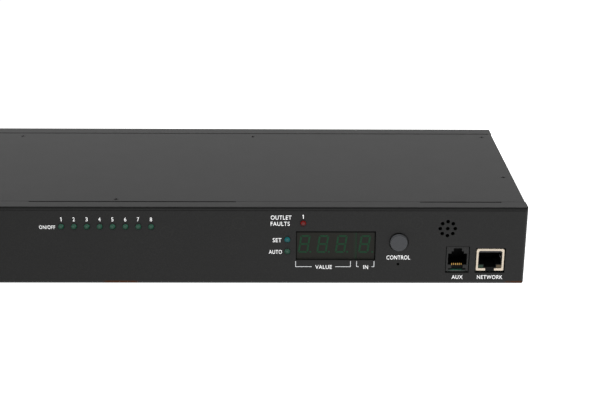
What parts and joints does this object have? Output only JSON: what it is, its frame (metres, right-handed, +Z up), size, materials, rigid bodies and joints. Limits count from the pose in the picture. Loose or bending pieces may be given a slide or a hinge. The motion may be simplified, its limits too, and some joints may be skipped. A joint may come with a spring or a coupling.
{
  "type": "rack power distribution unit",
  "caption": "Low rack power distribution unit: folded steel case with lamps, digital meter, push button and data sockets in front, switched outlets, breaker and mains inlet behind.",
  "frame": {"origin": "middle of the underside of the case, on the surface it rests on", "axes": "+X along the front from left to right, +Y from the front to the rear, +Z up"},
  "size_m": [0.44, 0.1526, 0.044],
  "materials": {
    "case_paint": "fine textured dark grey powder coat",
    "screw_black": "blackened steel",
    "bright_steel": "plain zinc plate",
    "board_green": "green solder mask",
    "lamp_green": "clear green resin",
    "lamp_red": "clear red resin",
    "lamp_teal": "clear blue-green resin",
    "lamp_dull_green": "clear green resin",
    "display_black": "smoked resin face",
    "segment_green": "unlit green resin",
    "button_grey": "satin grey",
    "black_plastic": "fine matt black",
    "dark_plastic": "satin dark grey",
    "socket_metal": "plated sheet",
    "socket_lamp": "clear tinted resin",
    "gold": "gold plate",
    "contact_brass": "plain brass",
    "ribbon_grey": "soft grey insulation",
    "relay_blue": "moulded blue",
    "terminal_green": "moulded green",
    "breaker_red": "moulded red",
    "wire_brown": "soft brown insulation",
    "wire_blue": "soft blue insulation",
    "wire_green": "soft green insulation"
  },
  "bodies": {
    "enclosure": {"base_standoffs": "bright_steel", "board_chips": "black_plastic", "board_screws": "bright_steel", "breaker_nut": "bright_steel", "buzzer": "black_plastic", "chassis_tray": "case_paint", "circuit_breaker": "black_plastic", "circuit_lamp": "lamp_red", "countersunk_screws": "screw_black", "current_transformer": "relay_blue", "digit_segments": "segment_green", "display_board": "board_green", "earth_wire": "wire_green", "function_switch": "black_plastic", "lamp_board": "board_green", "lamp_leads": "bright_steel", "live_wires": "wire_brown", "mains_blades": "bright_steel", "meter_display": "display_black", "network_board": "board_green", "network_socket_insert": "black_plastic", "network_socket_lamps": "socket_lamp", "network_socket_shield": "socket_metal", "neutral_wire": "wire_blue", "outlet_1": "black_plastic", "outlet_2": "black_plastic", "outlet_3": "black_plastic", "outlet_4": "black_plastic", "outlet_5": "black_plastic", "outlet_6": "black_plastic", "outlet_7": "black_plastic", "outlet_8": "black_plastic", "outlet_contacts": "contact_brass", "outlet_lamp_1": "lamp_green", "outlet_lamp_2": "lamp_green", "outlet_lamp_3": "lamp_green", "outlet_lamp_4": "lamp_green", "outlet_lamp_5": "lamp_green", "outlet_lamp_6": "lamp_green", "outlet_lamp_7": "lamp_green", "outlet_lamp_8": "lamp_green", "panel_studs": "bright_steel", "power_inlet": "black_plastic", "relay_board": "board_green", "relays": "relay_blue", "reset_switch": "black_plastic", "ribbon_cables": "ribbon_grey", "ribbon_headers": "black_plastic", "sensor_socket": "dark_plastic", "socket_contacts": "gold", "status_lamp_1": "lamp_teal", "status_lamp_2": "lamp_dull_green", "supply_module": "black_plastic", "top_cover": "case_paint", "unit_display": "display_black", "wire_terminals": "terminal_green"},
    "function_button": {"function_button": "button_grey", "function_plunger": "black_plastic"},
    "reset_plunger": {"reset_plunger": "black_plastic"},
    "breaker_button": {"breaker_button": "breaker_red"}
  },
  "joints": [
    {"name": "function_press", "type": "slide", "parent": "enclosure", "child": "function_button", "axis": [0, 1, 0], "range_m": [0, 0.0005], "stiffness_N_per_m": 800, "springref_m": -0.0008},
    {"name": "reset_press", "type": "slide", "parent": "enclosure", "child": "reset_plunger", "axis": [0, 1, 0], "range_m": [0, 0.00025], "stiffness_N_per_m": 600, "springref_m": -0.0008},
    {"name": "breaker_pop", "type": "slide", "parent": "enclosure", "child": "breaker_button", "axis": [0, 1, 0], "range_m": [0, 0.004]}
  ]
}
